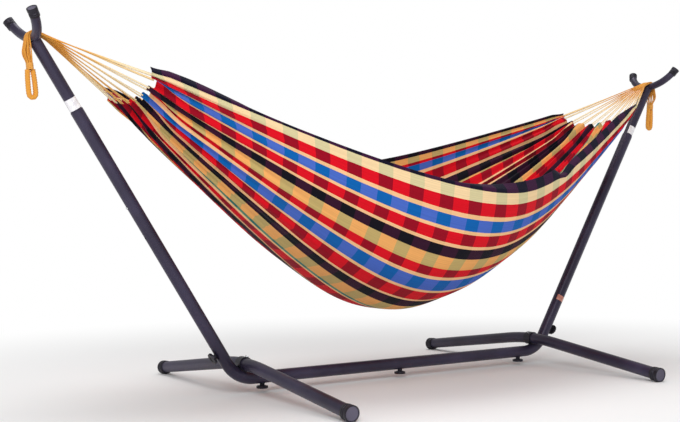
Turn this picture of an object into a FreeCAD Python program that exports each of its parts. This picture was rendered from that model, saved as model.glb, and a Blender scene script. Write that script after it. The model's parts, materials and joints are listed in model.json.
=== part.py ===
import FreeCAD, Part
import math
import os

from FreeCAD import Placement, Rotation, Vector

# A hammock on a free-standing steel stand, in millimetres.
# X runs along the stand, Y across it and Z up; the floor is Z = 0 and the middle is X = Y = 0.

doc = FreeCAD.newDocument("hammock_on_stand")
sheet = doc.addObject("Spreadsheet::Sheet", "Sizes")

SIZES = [
    # steel tube and the plugs that join one tube to the next
    ("tube_diameter", 38),
    ("tube_wall", 1.5),
    ("plug_clearance", 0.1),
    ("plug_length", 90),
    ("plug_shoulder", 3),
    # base beam and the bent base pieces
    ("beam_height", 47),
    ("corner_reach", 611),
    ("lean_angle", 31.75),
    ("base_bend_radius", 105),
    ("leg_stub", 6),
    ("riser_stub", 16),
    ("screw_inset", 25),
    # uprights and hook tubes
    ("upright_length", 858),
    ("hook_clearance", 0.2),
    ("hook_exposed", 228),
    ("hook_overlap", 335),
    ("hook_tube_setback", 8),
    ("button_below_top", 310),
    ("height_hole_pitch", 104),
    # feet
    ("foot_span", 1190),
    ("foot_reach", 585),
    ("foot_mid_height", 92),
    ("foot_bend_radius", 900),
    ("foot_cap_wall", 3.9),
    ("foot_cap_length", 30),
    ("foot_cap_floor", 4),
    ("foot_cap_clearance", 0.1),
    ("foot_flat_depth", 1.5),
    ("collar_length", 30),
    ("collar_wall", 3),
    ("collar_clearance", 0.3),
    ("foot_bolt_diameter", 6),
    # V hooks
    ("hook_bar_diameter", 26),
    ("hook_arc_radius", 117),
    ("hook_arc_angle", 66),
    ("hook_cap_wall", 2),
    ("hook_cap_length", 27),
    ("hook_cap_floor", 3),
    # hand screws
    ("screw_diameter", 8),
    ("screw_reach", 26),
    ("thread_clearance", 0.1),
    ("screw_hole_clearance", 0.5),
    ("insert_diameter", 11),
    ("insert_depth", 13),
    ("knob_diameter", 29),
    ("knob_thickness", 8),
    ("knob_stem_diameter", 14),
    ("knob_stem_length", 7),
    ("knob_bore_clearance", 0.3),
    # snap buttons
    ("button_diameter", 8),
    ("button_proud", 3),
    ("button_flange_diameter", 12),
    ("button_flange_thickness", 1.5),
    ("button_clearance", 0.3),
    ("button_travel", 5),
    ("spring_thickness", 0.8),
    ("spring_width", 10),
    ("spring_length", 60),
    # plain patches
    ("patch_length", 34),
    ("patch_thickness", 0.3),
    ("patch_angle", 150),
    ("band_length", 20),
    ("band_position", 128),
    # hammock bed
    ("bed_half_length", 950),
    ("bed_thickness", 4),
    ("bed_end_half_width", 194),
    ("bed_near_half_width", 461),
    ("bed_far_half_width", 433),
    ("bed_end_rim_drop", 91),
    ("bed_end_drop", 164),
    ("bed_near_rim_drop", 424),
    ("bed_far_rim_drop", 304),
    ("bed_drop", 803),
    # where each line of the bed is lowest, and how round it is there (0 is a sharp corner)
    ("bed_near_low_point", 102),
    ("bed_low_point", -53),
    ("bed_width_roundness", 0.25),
    ("bed_near_roundness", 0.43),
    ("bed_far_roundness", 0.32),
    ("bed_roundness", 0.35),
    # cords
    ("bunch_count", 9),
    ("cord_diameter", 3.5),
    ("cord_column_pitch", 1.9),
    ("cord_row_pitch", 3.6),
    ("cord_gap", 0.5),
    ("bundle_width", 38),
    ("bundle_thickness", 8),
    ("bundle_clearance", 0.2),
    ("bundle_slope", 22),
    ("bundle_run", 30),
    ("tail_lean", 5),
    ("tail_clearance", 0.5),
    ("tail_drop", 66),
    ("tail_neck_width", 22),
    ("tail_neck_thickness", 14),
    ("whipping_length", 18),
    ("whipping_thickness", 2),
    ("eye_cord_diameter", 14),
    ("eye_width", 32),
    ("eye_height", 84),
]


def fill_sheet():
    """Write each driving size as a plain number with its own alias."""
    for row, (alias, size) in enumerate(SIZES, start=1):
        sheet.set(f"A{row}", alias.replace("_", " "))
        sheet.set(f"B{row}", str(size))
        sheet.setAlias(f"B{row}", alias)
    doc.recompute()


def size(alias):
    """The value of one driving size."""
    return float(sheet.get(alias))


def cell(text):
    """Turn words of a short formula into references to the sheet."""
    for alias, _ in sorted(SIZES, key=lambda entry: -len(entry[0])):
        text = text.replace("$" + alias, "Sizes." + alias)
    return text


fill_sheet()

UP = Vector(0, 0, 1)
ALONG = Vector(1, 0, 0)
ACROSS = Vector(0, 1, 0)

TUBE_R = size("tube_diameter") / 2
BORE_R = TUBE_R - size("tube_wall")
HOOK_TUBE_R = BORE_R - size("hook_clearance")
HOOK_BORE_R = HOOK_TUBE_R - size("tube_wall")
FOOT_CAP_R = TUBE_R + size("foot_cap_clearance") + size("foot_cap_wall")
BAR_R = size("hook_bar_diameter") / 2


# ---------------------------------------------------------------- small builders

def place(obj, base, direction, turn=0.0):
    """Put an object's own origin at base with its Z axis along direction."""
    roll = Rotation(UP, turn)
    obj.Placement = Placement(base, Rotation(UP, direction).multiply(roll))
    return obj


def cylinder(name, radius, height, base, direction=UP):
    obj = doc.addObject("Part::Cylinder", name)
    obj.setExpression("Radius", cell(radius))
    obj.setExpression("Height", cell(height))
    return place(obj, base, direction)


def torus_piece(name, ring_radius, pipe_radius, angle, centre, axis, start):
    """Part of a ring: it starts along start and turns by angle about axis."""
    obj = doc.addObject("Part::Torus", name)
    obj.setExpression("Radius1", cell(ring_radius))
    obj.setExpression("Radius2", cell(pipe_radius))
    obj.Angle1, obj.Angle2, obj.Angle3 = -180, 180, angle
    side = axis.cross(start)
    matrix = FreeCAD.Matrix(start.x, side.x, axis.x, centre.x,
                            start.y, side.y, axis.y, centre.y,
                            start.z, side.z, axis.z, centre.z, 0, 0, 0, 1)
    obj.Placement = Placement(matrix)
    return obj


def fuse(name, *pieces):
    obj = doc.addObject("Part::MultiFuse", name)
    obj.Shapes = list(pieces)
    obj.Refine = True
    return obj


def cut(name, base, tool):
    obj = doc.addObject("Part::Cut", name)
    obj.Base, obj.Tool = base, tool
    return obj


def group(name, *pieces):
    obj = doc.addObject("Part::Compound", name)
    obj.Links = list(pieces)
    return obj


def mirrored(name, source, normal=ALONG):
    """The same piece at the other end (or the other side) of the stand."""
    obj = doc.addObject("Part::Mirroring", name)
    obj.Source = source
    obj.Normal, obj.Base = normal, Vector()
    return obj


def from_shape(name, shape):
    """A piece whose outline no primitive gives; the shape is worked out from the sheet."""
    obj = doc.addObject("Part::Feature", name)
    obj.Shape = shape
    return obj


NODES = []


def node(obj, label):
    """Name a finished piece; its label is also its file's name."""
    obj.Label = label
    NODES.append(obj)
    return obj


# ---------------------------------------------------------------- the stand's lines (right end)

LEAN = math.radians(size("lean_angle"))
TURN = 90 - size("lean_angle")
RISE = Vector(math.sin(LEAN), 0, math.cos(LEAN))
OUTER = Vector(math.cos(LEAN), 0, -math.sin(LEAN))
CORNER = Vector(size("corner_reach"), 0, size("beam_height"))
TANGENT = size("base_bend_radius") * math.tan(math.radians(TURN / 2))
BEAM_JOINT = CORNER - ALONG * (TANGENT + size("leg_stub"))
RISER_JOINT = CORNER + RISE * (TANGENT + size("riser_stub"))
UPRIGHT_TOP = RISER_JOINT + RISE * size("upright_length")
CROTCH = UPRIGHT_TOP + RISE * size("hook_exposed")
FOOT_AXIS = Vector(size("foot_reach"), 0, size("foot_mid_height"))


# ---------------------------------------------------------------- beam

def screw_hole(name, centre, outward, radius="$screw_diameter / 2 + $screw_hole_clearance"):
    """A hole through one wall, from the tube's axis outward."""
    return cylinder(name, radius, "$tube_diameter", centre, outward)


def make_beam():
    """Two half beams; the left one ends in a plug that enters the right one."""
    inset = size("screw_inset")
    centre_joint = Vector(-inset, 0, size("beam_height"))
    left_joint = Vector(-BEAM_JOINT.x, 0, size("beam_height"))
    left_length = centre_joint.x - left_joint.x
    right_length = BEAM_JOINT.x - centre_joint.x

    skin = cylinder("beam_left_skin", "$tube_diameter / 2", str(left_length), left_joint, ALONG)
    plug = cylinder("beam_left_plug", "$tube_diameter / 2 - $tube_wall - $plug_clearance",
                    f"{left_length} + $plug_length", left_joint, ALONG)
    wide = cylinder("beam_left_bore", "$tube_diameter / 2 - $tube_wall",
                    f"{left_length} - $plug_shoulder", left_joint, ALONG)
    narrow = cylinder("beam_left_plug_bore", "$tube_diameter / 2 - 2 * $tube_wall - $plug_clearance",
                      f"{left_length} + $plug_length", left_joint, ALONG)
    end_hole = screw_hole("beam_left_screw_hole", left_joint + ALONG * inset, -UP)
    insert_hole = screw_hole("beam_centre_insert_hole", Vector(0, 0, size("beam_height")), -UP,
                             "$insert_diameter / 2")
    left = cut("beam_left", fuse("beam_left_solid", skin, plug),
               fuse("beam_left_voids", wide, narrow, end_hole, insert_hole))
    node(left, "beam_left")

    skin = cylinder("beam_right_skin", "$tube_diameter / 2", str(right_length), centre_joint, ALONG)
    bore = cylinder("beam_right_bore", "$tube_diameter / 2 - $tube_wall", str(right_length),
                    centre_joint, ALONG)
    holes = [screw_hole(f"beam_right_screw_hole_{index}", Vector(x, 0, size("beam_height")), -UP)
             for index, x in enumerate((0, BEAM_JOINT.x - inset))]
    right = cut("beam_right", skin, fuse("beam_right_voids", bore, *holes))
    node(right, "beam_right")


# ---------------------------------------------------------------- bent base pieces

def bent_rod(name, radius, leg, riser):
    """A solid rod along the base bend, with straight ends of the given lengths."""
    centre = CORNER - ALONG * TANGENT + UP * size("base_bend_radius")
    bend = torus_piece(name + "_bend", "$base_bend_radius", radius, TURN, centre, -ACROSS, -UP)
    start = CORNER - ALONG * TANGENT
    level = cylinder(name + "_leg", radius, str(leg), start - ALONG * leg, ALONG)
    leaning = cylinder(name + "_riser", radius, str(riser), CORNER + RISE * TANGENT, RISE)
    return [bend, level, leaning]


def make_base():
    leg, riser = size("leg_stub"), size("riser_stub")
    plug, shoulder = size("plug_length"), size("plug_shoulder")
    plug_radius = "$tube_diameter / 2 - $tube_wall - $plug_clearance"
    plug_bore = "$tube_diameter / 2 - 2 * $tube_wall - $plug_clearance"

    body = fuse("base_solid", *bent_rod("base_skin", "$tube_diameter / 2", leg, riser),
                cylinder("base_leg_plug", plug_radius, "$plug_length", BEAM_JOINT, -ALONG),
                cylinder("base_riser_plug", plug_radius, "$plug_length", RISER_JOINT, RISE))
    voids = bent_rod("base_bore", "$tube_diameter / 2 - $tube_wall", leg - shoulder, riser - shoulder)
    voids += [
        cylinder("base_leg_bore", plug_bore, f"{plug + 2 * shoulder}",
                 BEAM_JOINT + ALONG * 2 * shoulder, -ALONG),
        cylinder("base_riser_bore", plug_bore, f"{plug + 2 * shoulder}",
                 RISER_JOINT - RISE * 2 * shoulder, RISE),
        screw_hole("base_leg_insert_hole", BEAM_JOINT - ALONG * size("screw_inset"), -UP,
                   "$insert_diameter / 2"),
        screw_hole("base_riser_insert_hole", RISER_JOINT + RISE * size("screw_inset"), OUTER,
                   "$insert_diameter / 2"),
        cylinder("base_notch", "$tube_diameter / 2 + $collar_clearance + $collar_wall",
                 "$tube_diameter * 2", FOOT_AXIS - ACROSS * size("tube_diameter"), ACROSS),
    ]
    right = cut("base_right", body, fuse("base_voids", *voids))
    node(right, "base_right")
    node(mirrored("base_left", right), "base_left")


# ---------------------------------------------------------------- uprights and hook tubes

BUTTON_PLACE = UPRIGHT_TOP - RISE * size("button_below_top")


def make_uprights():
    skin = cylinder("upright_skin", "$tube_diameter / 2", "$upright_length", RISER_JOINT, RISE)
    bore = cylinder("upright_bore", "$tube_diameter / 2 - $tube_wall", "$upright_length",
                    RISER_JOINT, RISE)
    voids = [bore, screw_hole("upright_screw_hole", RISER_JOINT + RISE * size("screw_inset"), OUTER)]
    for index in range(2):
        spot = BUTTON_PLACE - RISE * size("height_hole_pitch") * index
        voids.append(screw_hole(f"upright_height_hole_{index}", spot, OUTER,
                                "$button_diameter / 2 + $button_clearance"))
    right = cut("upright_right", skin, fuse("upright_voids", *voids))
    node(right, "upright_right")
    node(mirrored("upright_left", right), "upright_left")


def hook_bar(name):
    """The round bar of the V hook, a shallow arc whose lowest point is the crotch."""
    angle = math.radians(size("hook_arc_angle"))
    centre = CROTCH + RISE * size("hook_arc_radius")
    start = -RISE * math.cos(angle) - ACROSS * math.sin(angle)
    axis = (-RISE).cross(ACROSS)
    return torus_piece(name, "$hook_arc_radius", "$hook_bar_diameter / 2",
                       2 * size("hook_arc_angle"), centre, axis, start)


def tail_room():
    """The room the spare cords need beside the tube's mouth, in front of their inner face."""
    side = TAIL_WAY.cross(ACROSS)
    top = BUNDLE_END - side * size("bundle_thickness") / 2
    low = BUNDLE_END + TAIL_WAY * size("tail_drop") - side * size("tail_neck_thickness") / 2
    up = (top - low).normalize()
    out = ACROSS.cross(up)
    start = low - out * size("tail_clearance") - ACROSS * size("bundle_width")
    box = doc.addObject("Part::Box", "tail_room")
    box.setExpression("Length", cell("$tube_diameter"))
    box.setExpression("Width", cell("$bundle_width * 2"))
    box.setExpression("Height", cell("$tail_drop"))
    box.Placement = Placement(FreeCAD.Matrix(out.x, 0, up.x, start.x,
                                             out.y, 1, up.y, start.y,
                                             out.z, 0, up.z, start.z, 0, 0, 0, 1))
    return box


def make_hook_tubes():
    foot = UPRIGHT_TOP - RISE * size("hook_overlap")
    length = "$hook_overlap + $hook_exposed - $hook_tube_setback"
    skin = cylinder("hook_tube_skin", "$tube_diameter / 2 - $tube_wall - $hook_clearance", length,
                    foot, RISE)
    bore = cylinder("hook_tube_bore", "$tube_diameter / 2 - 2 * $tube_wall - $hook_clearance",
                    length, foot, RISE)
    rivet_spot = BUTTON_PLACE - RISE * size("spring_length")
    voids = fuse("hook_tube_voids", bore, hook_bar("hook_tube_mouth"),
                 screw_hole("hook_tube_button_hole", BUTTON_PLACE, OUTER,
                            "$button_diameter / 2 + $button_clearance"),
                 screw_hole("hook_tube_rivet_hole", rivet_spot, OUTER, "$spring_width / 5"))
    right = cut("hook_tube_right", cut("hook_tube_open", skin, voids), tail_room())
    node(right, "hook_tube_right")
    node(mirrored("hook_tube_left", right), "hook_tube_left")


def make_v_hooks():
    right = node(hook_bar("v_hook_right"), "v_hook_right")
    node(mirrored("v_hook_left", right), "v_hook_left")

    # a cap slides over each end of the bar and closes it
    angle = math.radians(size("hook_arc_angle"))
    depth = size("hook_cap_length") - size("hook_cap_floor")
    caps = []
    for side in (-1, 1):
        tip = CROTCH + RISE * size("hook_arc_radius") * (1 - math.cos(angle)) \
            + ACROSS * side * size("hook_arc_radius") * math.sin(angle)
        heading = RISE * math.sin(angle) + ACROSS * side * math.cos(angle)
        body = cylinder(f"hook_cap_{side}_body", "$hook_bar_diameter / 2 + $hook_cap_wall",
                        "$hook_cap_length", tip - heading * depth, heading)
        edge = doc.addObject("Part::Fillet", f"hook_cap_{side}_edge")
        edge.Base = body
        doc.recompute()
        far = [index + 1 for index, piece in enumerate(body.Shape.Edges)
               if piece.Closed and (piece.CenterOfMass - tip).dot(heading) > 0]
        edge.Edges = [(index, 2.0, 2.0) for index in far]
        caps.append(cut(f"hook_cap_{side}", edge, hook_bar(f"hook_cap_{side}_bar")))
    right = node(group("hook_caps_right", *caps), "hook_caps_right")
    node(mirrored("hook_caps_left", right), "hook_caps_left")


# ---------------------------------------------------------------- feet

def foot_lines():
    """Where the foot tube's middle arc meets its straight legs, and where a leg ends."""
    radius = size("foot_bend_radius")
    end = Vector(FOOT_AXIS.x, size("foot_span") / 2, FOOT_CAP_R - size("foot_flat_depth"))
    centre = FOOT_AXIS - UP * radius
    across, height = end.y, end.z - centre.z
    angle = math.atan2(across, height) - math.acos(radius / math.hypot(across, height))
    touch = centre + ACROSS * radius * math.sin(angle) + UP * radius * math.cos(angle)
    return centre, angle, touch, end


FOOT_CENTRE, FOOT_ANGLE, FOOT_TOUCH, FOOT_END = foot_lines()
FOOT_HEADING = (FOOT_END - FOOT_TOUCH).normalize()


def flipped(vector):
    return Vector(vector.x, -vector.y, vector.z)


def foot_rod(name, radius, shortening):
    """A solid rod along the whole foot, each end set back by shortening."""
    start = UP * math.cos(FOOT_ANGLE) + ACROSS * math.sin(FOOT_ANGLE)
    bend = torus_piece(name + "_bend", "$foot_bend_radius", radius,
                       2 * math.degrees(FOOT_ANGLE), FOOT_CENTRE, ALONG, start)
    length = (FOOT_END - FOOT_TOUCH).Length - shortening
    legs = [cylinder(f"{name}_leg_{index}", radius, str(length), base, heading)
            for index, (base, heading) in enumerate(((FOOT_TOUCH, FOOT_HEADING),
                                                     (flipped(FOOT_TOUCH), flipped(FOOT_HEADING))))]
    return [bend] + legs


def bolt_direction():
    """The foot bolt enters the collar on the side away from the base bend."""
    away = FOOT_AXIS - (CORNER - ALONG * TANGENT + UP * size("base_bend_radius"))
    return Vector(-away.x, 0, -away.z).normalize()


def make_feet():
    cap_floor = size("foot_cap_floor")
    solid = fuse("foot_solid", *foot_rod("foot_skin", "$tube_diameter / 2", cap_floor))
    bolt_hole = cylinder("foot_bolt_hole", "$foot_bolt_diameter / 2 + $thread_clearance",
                         "$tube_diameter", FOOT_AXIS, bolt_direction())
    voids = foot_rod("foot_bore", "$tube_diameter / 2 - $tube_wall", cap_floor) + [bolt_hole]
    for index, void in enumerate(voids):
        solid = cut(f"foot_right_{index}", solid, void)
    right = node(solid, "foot_right")
    node(mirrored("foot_left", right), "foot_left")

    length = size("collar_length")
    start = FOOT_AXIS - ACROSS * length / 2
    ring = cylinder("collar_ring", "$tube_diameter / 2 + $collar_clearance + $collar_wall",
                    "$collar_length", start, ACROSS)
    opening = cylinder("collar_opening", "$tube_diameter / 2 + $collar_clearance",
                       "$collar_length", start, ACROSS)
    hole = cylinder("collar_bolt_hole", "$foot_bolt_diameter / 2 + $thread_clearance",
                    "$tube_diameter", FOOT_AXIS, bolt_direction())
    right = node(cut("foot_collar_right", ring, fuse("collar_voids", opening, hole)),
                 "foot_collar_right")
    node(mirrored("foot_collar_left", right), "foot_collar_left")

    caps = []
    below = doc.addObject("Part::Box", "below_floor")
    below.setExpression("Length", cell("$tube_diameter * 3"))
    below.setExpression("Width", cell("$foot_span * 2"))
    below.setExpression("Height", cell("$tube_diameter"))
    below.Placement.Base = Vector(FOOT_AXIS.x - size("tube_diameter") * 3 / 2, -size("foot_span"),
                                  -size("tube_diameter"))
    for index, (end, heading) in enumerate(((FOOT_END, FOOT_HEADING),
                                            (flipped(FOOT_END), flipped(FOOT_HEADING)))):
        body = cylinder(f"foot_cap_body_{index}",
                        "$tube_diameter / 2 + $foot_cap_clearance + $foot_cap_wall", "$foot_cap_length",
                        end - heading * size("foot_cap_length"), heading)
        socket = cylinder(f"foot_cap_socket_{index}", "$tube_diameter / 2 + $foot_cap_clearance",
                          "$foot_cap_length - $foot_cap_floor",
                          end - heading * size("foot_cap_length"), heading)
        caps.append(cut(f"foot_cap_{index}", body, fuse(f"foot_cap_voids_{index}", socket, below)))
    right = node(group("foot_caps_right", *caps), "foot_caps_right")
    node(mirrored("foot_caps_left", right), "foot_caps_left")


def make_foot_bolts():
    """One bolt through each collar into a rivet nut set in the foot tube's wall."""
    way = bolt_direction()
    reach = TUBE_R + size("collar_clearance") + size("collar_wall")
    head = cylinder("foot_bolt_head", "$foot_bolt_diameter * 0.85", "$foot_bolt_diameter * 0.6",
                    FOOT_AXIS + way * (reach + 0.3), way)
    shank_length = reach + 0.3 - TUBE_R + size("insert_depth")
    shank = cylinder("foot_bolt_shank", "$foot_bolt_diameter / 2", str(shank_length),
                     FOOT_AXIS + way * (TUBE_R - size("insert_depth")), way)
    bolt = fuse("foot_bolt", head, shank)
    node(group("foot_bolts", bolt, mirrored("foot_bolt_left", bolt)), "foot_bolts")

    inner = BORE_R - 0.6
    ring = cylinder("foot_nut_ring", "$foot_bolt_diameter * 0.8", "$insert_depth - $tube_wall - 1.5",
                    FOOT_AXIS + way * inner, -way)
    opening = cylinder("foot_nut_bore", "$foot_bolt_diameter / 2 + $thread_clearance",
                       "$insert_depth", FOOT_AXIS + way * inner, -way)
    nut = cut("foot_nut", ring, opening)
    node(group("foot_bolt_nuts", nut, mirrored("foot_nut_left", nut)), "foot_bolt_nuts")


# ---------------------------------------------------------------- hand screws

def mirror_vector(vector):
    return Vector(-vector.x, vector.y, vector.z)


def screw_places():
    """Name, point on the tube's axis and outward direction of each hand screw."""
    beam_spot = BEAM_JOINT - ALONG * size("screw_inset")
    riser_spot = RISER_JOINT + RISE * size("screw_inset")
    return [
        ("beam_centre", Vector(0, 0, size("beam_height")), -UP),
        ("beam_left", mirror_vector(beam_spot), -UP),
        ("beam_right", beam_spot, -UP),
        ("upright_left", mirror_vector(riser_spot), mirror_vector(OUTER)),
        ("upright_right", riser_spot, OUTER),
    ]


def make_hand_screws():
    inserts = []
    for name, spot, way in screw_places():
        seat = spot + way * TUBE_R
        tip = seat - way * (size("screw_reach") - size("knob_stem_length"))
        shank = cylinder(f"screw_shank_{name}", "$screw_diameter / 2",
                         "$screw_reach + $knob_thickness / 2", tip, way)
        node(shank, f"screw_{name}")

        stem = cylinder(f"knob_stem_{name}", "$knob_stem_diameter / 2", "$knob_stem_length", seat, way)
        head = cylinder(f"knob_head_{name}", "$knob_diameter / 2", "$knob_thickness",
                        seat + way * size("knob_stem_length"), way)
        doc.recompute()
        rim = doc.addObject("Part::Fillet", f"knob_rim_{name}")
        rim.Base = head
        rim.Edges = [(index + 1, 2.5, 2.5) for index, edge in enumerate(head.Shape.Edges)
                     if edge.Closed]
        socket = cylinder(f"knob_socket_{name}", "$screw_diameter / 2 + $knob_bore_clearance",
                          "$knob_stem_length + $knob_thickness / 2", seat, way)
        knob = cut(f"knob_{name}", fuse(f"knob_solid_{name}", stem, rim), socket)
        node(knob, f"knob_{name}")

        # the insert's outer end is trimmed to the plug's round surface
        outer_face = spot + way * TUBE_R
        ring = cylinder(f"insert_ring_{name}", "$insert_diameter / 2", "$insert_depth",
                        outer_face, -way)
        trim = cylinder(f"insert_trim_{name}", "$tube_diameter / 2 - $tube_wall - $plug_clearance",
                        "$knob_diameter", spot - tube_direction(way) * size("knob_diameter") / 2,
                        tube_direction(way))
        thread = cylinder(f"insert_thread_{name}", "$screw_diameter / 2 + $thread_clearance",
                          "2 * $insert_depth", outer_face, -way)
        body = doc.addObject("Part::Common", f"insert_body_{name}")
        body.Base, body.Tool = ring, trim
        inserts.append(cut(f"insert_{name}", body, thread))
    node(group("thread_inserts", *inserts), "thread_inserts")


def tube_direction(way):
    """The tube's own direction where a hand screw points along way."""
    return ACROSS.cross(way)


# ---------------------------------------------------------------- snap buttons

def make_snap_buttons():
    way = OUTER
    flange_out = math.sqrt(HOOK_BORE_R ** 2 - (size("button_flange_diameter") / 2) ** 2) - 0.1
    flange_in = flange_out - size("button_flange_thickness")
    stem = cylinder("button_stem", "$button_diameter / 2", str(TUBE_R + size("button_proud") - flange_in),
                    BUTTON_PLACE + way * flange_in, way)
    flange = cylinder("button_flange", "$button_flange_diameter / 2", "$button_flange_thickness",
                      BUTTON_PLACE + way * flange_in, way)
    doc.recompute()
    crown = doc.addObject("Part::Fillet", "button_crown")
    crown.Base = stem
    crown.Edges = [(index + 1, 2.0, 2.0) for index, edge in enumerate(stem.Shape.Edges)
                   if edge.Closed and (edge.CenterOfMass - BUTTON_PLACE).dot(way) > TUBE_R]
    right = node(fuse("snap_button_right", crown, flange), "snap_button_right")
    node(mirrored("snap_button_left", right), "snap_button_left")

    # a leaf spring, drawn where the pressed button meets it
    leaf_out = flange_in - size("button_travel") - 0.3
    wall_out = math.sqrt(HOOK_BORE_R ** 2 - (size("spring_width") / 2) ** 2) - 0.1
    thick, length = size("spring_thickness"), size("spring_length")

    def spot(along, out):
        return BUTTON_PLACE + RISE * along + way * out - ACROSS * size("spring_width") / 2

    line = [(8, leaf_out), (-10, leaf_out), (-length + 8, wall_out), (-length - 8, wall_out)]
    outline = [spot(a, r) for a, r in line] + [spot(a, r - thick) for a, r in reversed(line)]
    face = Part.Face(Part.makePolygon(outline + outline[:1]))
    rivet_spot = BUTTON_PLACE - RISE * length
    hole = Part.makeCylinder(size("spring_width") / 5, TUBE_R, rivet_spot, way)
    leaf = face.extrude(ACROSS * size("spring_width")).cut(hole)
    right = node(from_shape("leaf_spring_right", leaf), "leaf_spring_right")
    node(mirrored("leaf_spring_left", right), "leaf_spring_left")

    rivet_length = HOOK_TUBE_R - wall_out + thick + 0.8
    rivet = cylinder("spring_rivet", "$spring_width / 5", str(rivet_length),
                     rivet_spot + way * (HOOK_TUBE_R - 0.2), -way)
    head = cylinder("spring_rivet_head", "$spring_width / 3", "0.8",
                    rivet_spot + way * (wall_out - thick), -way)
    whole = fuse("spring_rivet_right", rivet, head)
    node(group("spring_rivets", whole, mirrored("spring_rivet_left", whole)), "spring_rivets")


# ---------------------------------------------------------------- plain patches

def patch(name, tube_radius, start, length):
    """A thin curved patch on the outer side of a tube."""
    sector = doc.addObject("Part::Cylinder", name + "_sector")
    sector.Radius = tube_radius + size("patch_thickness")
    sector.Height = length
    sector.setExpression("Angle", cell("$patch_angle"))
    # the sector opens about its own X axis, which is turned to the camera side
    x_axis = (OUTER * 0.3 - ACROSS).normalize()
    y_axis = RISE.cross(x_axis)
    half = math.radians(size("patch_angle") / 2)
    first = x_axis * math.cos(half) - y_axis * math.sin(half)
    second = RISE.cross(first)
    sector.Placement = Placement(FreeCAD.Matrix(
        first.x, second.x, RISE.x, start.x, first.y, second.y, RISE.y, start.y,
        first.z, second.z, RISE.z, start.z, 0, 0, 0, 1))
    core = doc.addObject("Part::Cylinder", name + "_core")
    core.Radius, core.Height = tube_radius, length
    place(core, start, RISE)
    return cut(name, sector, core)


def make_patches():
    above_joint = patch("joint_patch", HOOK_TUBE_R, UPRIGHT_TOP + RISE * 4, size("patch_length"))
    node(group("joint_patches", above_joint, mirrored("joint_patch_left", above_joint)),
         "joint_patches")
    low = RISER_JOINT + RISE * size("band_position")
    node(patch("upright_patch", TUBE_R, low, size("band_length")), "upright_patch")


# ---------------------------------------------------------------- hammock bed

def along_bed(x, end, middle, roundness, low_point=0.0):
    """A size that is middle at the bed's low point and end at both ends, on a hanging curve."""
    span = size("bed_half_length") + (-low_point if x > low_point else low_point)
    share = abs(x - low_point) / span
    curve = (math.hypot(share, roundness) - roundness) / (math.hypot(1, roundness) - roundness)
    return middle + (end - middle) * curve


def bed_section(x, inset):
    """Points of the bed's cross-section at x, from the near rim to the far rim."""
    end_width, end_rim = size("bed_end_half_width"), size("bed_end_rim_drop")
    width_round = size("bed_width_roundness")
    bottom = along_bed(x, size("bed_end_drop"), size("bed_drop"), size("bed_roundness"),
                       size("bed_low_point"))
    near = (along_bed(x, end_width, size("bed_near_half_width"), width_round),
            along_bed(x, end_rim, size("bed_near_rim_drop"), size("bed_near_roundness"),
                      size("bed_near_low_point")))
    far = (along_bed(x, end_width, size("bed_far_half_width"), width_round),
           along_bed(x, end_rim, size("bed_far_rim_drop"), size("bed_far_roundness")))
    points = []
    for step in range(-12, 13):
        angle = math.pi / 2 * step / 12
        half_width, rim = near if step < 0 else far
        depth = bottom - rim - inset
        points.append(Vector(x, (half_width - inset) * math.sin(angle),
                             CROTCH.z - rim - depth * math.cos(angle)))
    return points


def bed_outline(x):
    """The closed wire round the cloth's thickness at x."""
    outer, inner = bed_section(x, 0), bed_section(x, size("bed_thickness"))
    below, above = Part.BSplineCurve(), Part.BSplineCurve()
    below.interpolate(outer)
    above.interpolate(inner[::-1])
    return Part.Wire([below.toShape(), Part.makeLine(outer[-1], inner[-1]),
                      above.toShape(), Part.makeLine(inner[0], outer[0])])


def make_bed():
    half = size("bed_half_length")
    stations = [half * step / 8 for step in range(-8, 9)]
    bed = Part.makeLoft([bed_outline(x) for x in stations], True, False)
    node(from_shape("hammock_bed", bed), "hammock_bed")


# ---------------------------------------------------------------- cords

def bundle_lines():
    """The bundle's path over the bar: its inner end, the two touch points and its outer end."""
    slope = math.radians(size("bundle_slope"))
    lean = math.radians(size("tail_lean"))
    radius = BAR_R + size("bundle_clearance") + size("bundle_thickness") / 2
    inner_touch = CROTCH + Vector(-math.sin(slope), 0, math.cos(slope)) * radius
    inner_end = inner_touch + Vector(-math.cos(slope), 0, -math.sin(slope)) * size("bundle_run")
    outer_touch = CROTCH + Vector(math.cos(lean), 0, -math.sin(lean)) * radius
    outer_end = outer_touch + Vector(-math.sin(lean), 0, -math.cos(lean)) * 2
    top = CROTCH + Vector(math.sin(LEAN), 0, math.cos(LEAN)) * radius
    return inner_end, inner_touch, top, outer_touch, outer_end


BUNDLE_START, _, _, _, BUNDLE_END = bundle_lines()
TAIL_WAY = Vector(-math.sin(math.radians(size("tail_lean"))), 0,
                  -math.cos(math.radians(size("tail_lean"))))


def ellipse_wire(centre, width, thickness, normal):
    """An ellipse across the bundle: width along Y, thickness across its path."""
    across = ACROSS * width / 2
    other = normal.cross(ACROSS).normalize() * thickness / 2
    if width > thickness:
        curve = Part.Ellipse(centre + across, centre + other, centre)
    else:
        curve = Part.Ellipse(centre + other, centre + across, centre)
    return Part.Wire([curve.toShape()])


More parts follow.
